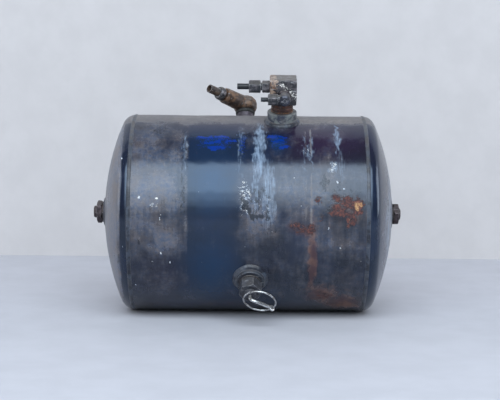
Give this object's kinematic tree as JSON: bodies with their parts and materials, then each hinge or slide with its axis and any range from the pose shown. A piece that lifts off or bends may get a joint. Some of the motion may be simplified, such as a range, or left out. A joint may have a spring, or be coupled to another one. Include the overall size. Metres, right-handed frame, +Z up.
{
  "type": "air receiver tank",
  "caption": "Cylindrical steel compressed-air receiver with dished ends, swivel manifold block, swivel elbow, cut tube stubs, plugged end ports and a pull-ring drain valve.",
  "frame": {"origin": "on the lowest flat of the shell, midway between the two heads: the point where the tank meets the surface it lies on", "axes": "+X along the tank axis, towards the domed plug; -Y towards the side with the drain valve and the manifold block; +Z up"},
  "size_m": [0.4343, 0.3051, 0.3332],
  "materials": {
    "vessel_paint": "worn gloss black paint over steel, dusty, with rust spots",
    "weld_paint": "painted weld bead",
    "boss_paint": "dusty grey overspray on steel",
    "dark_steel": "dark weathered steel with brown film",
    "rusty_steel": "rusted steel",
    "grey_zinc": "dull grey plated steel, scratched",
    "bronze_fitting": "tarnished brown fitting",
    "bright_steel": "bright plated wire",
    "copper_seal": "tarnished sealing washer",
    "brass_ferrule": "turned",
    "black_rubber": "matt",
    "black_nylon": "cut tube"
  },
  "bodies": {
    "tank": {"tank_shell": "vessel_paint", "left_head": "vessel_paint", "right_head": "vessel_paint", "seam_weld": "weld_paint", "left_girth_weld": "weld_paint", "right_girth_weld": "weld_paint", "left_boss_weld": "weld_paint", "right_boss_weld": "weld_paint", "manifold_boss_weld": "weld_paint", "elbow_boss_weld": "weld_paint", "drain_boss_weld": "weld_paint", "left_end_boss": "dark_steel", "right_end_boss": "dark_steel", "left_plug": "dark_steel", "right_plug": "dark_steel", "left_plug_seal": "copper_seal", "right_plug_seal": "copper_seal", "manifold_seal": "copper_seal", "elbow_seal": "copper_seal", "drain_seal": "copper_seal", "manifold_boss": "boss_paint", "elbow_boss": "boss_paint", "drain_boss": "boss_paint", "manifold_stud": "rusty_steel", "manifold_thrust_ring": "rusty_steel", "manifold_retaining_ring": "bright_steel", "manifold_o_ring": "black_rubber", "elbow_stud": "grey_zinc", "elbow_dust_ring": "black_rubber", "elbow_retaining_ring": "bright_steel", "drain_valve_body": "dark_steel", "drain_spring_retainer": "bright_steel", "drain_spring": "bright_steel"},
    "manifold": {"manifold_block": "grey_zinc", "upper_coupling_body": "grey_zinc", "upper_union_nut": "grey_zinc", "upper_ferrule": "brass_ferrule", "upper_tube_stub": "black_nylon", "front_elbow_stud": "dark_steel", "front_elbow_o_ring": "black_rubber"},
    "front_elbow": {"front_elbow_body": "grey_zinc", "front_elbow_nut": "grey_zinc", "front_ferrule": "brass_ferrule", "front_tube_stub": "black_nylon"},
    "elbow": {"elbow_body": "bronze_fitting", "elbow_collar": "grey_zinc", "elbow_tube_stub": "black_nylon"},
    "drain_stem": {"drain_stem": "bright_steel", "drain_valve_disc": "black_rubber"},
    "drain_ring": {"drain_ring": "bright_steel"}
  },
  "joints": [
    {"name": "manifold_swivel", "type": "hinge", "parent": "tank", "child": "manifold", "pos_m": [0.045, 0, 0.1377], "axis": [0, -0.2924, 0.9563], "continuous": true},
    {"name": "front_elbow_swivel", "type": "hinge", "parent": "manifold", "child": "front_elbow", "pos_m": [0.0476, -0.06558, 0.30431], "axis": [0, -0.9563, -0.2924], "continuous": true},
    {"name": "elbow_swivel", "type": "hinge", "parent": "tank", "child": "elbow", "pos_m": [-0.0058, 0, 0.1377], "axis": [0, 0.5, 0.866], "continuous": true},
    {"name": "drain_tilt", "type": "hinge", "parent": "tank", "child": "drain_stem", "pos_m": [0.0032, -0.13846, 0.05203], "axis": [1, 0, 0], "range_deg": [0, 8], "stiffness_Nm_per_rad": 0.3, "springref_deg": -17.19, "deforming": ["drain_spring"]},
    {"name": "drain_ring_swing", "type": "hinge", "parent": "drain_stem", "child": "drain_ring", "pos_m": [0.03203, -0.14181, 0.02569], "axis": [0.6356, -0.6194, 0.4608], "range_deg": [0, 60]}
  ]
}
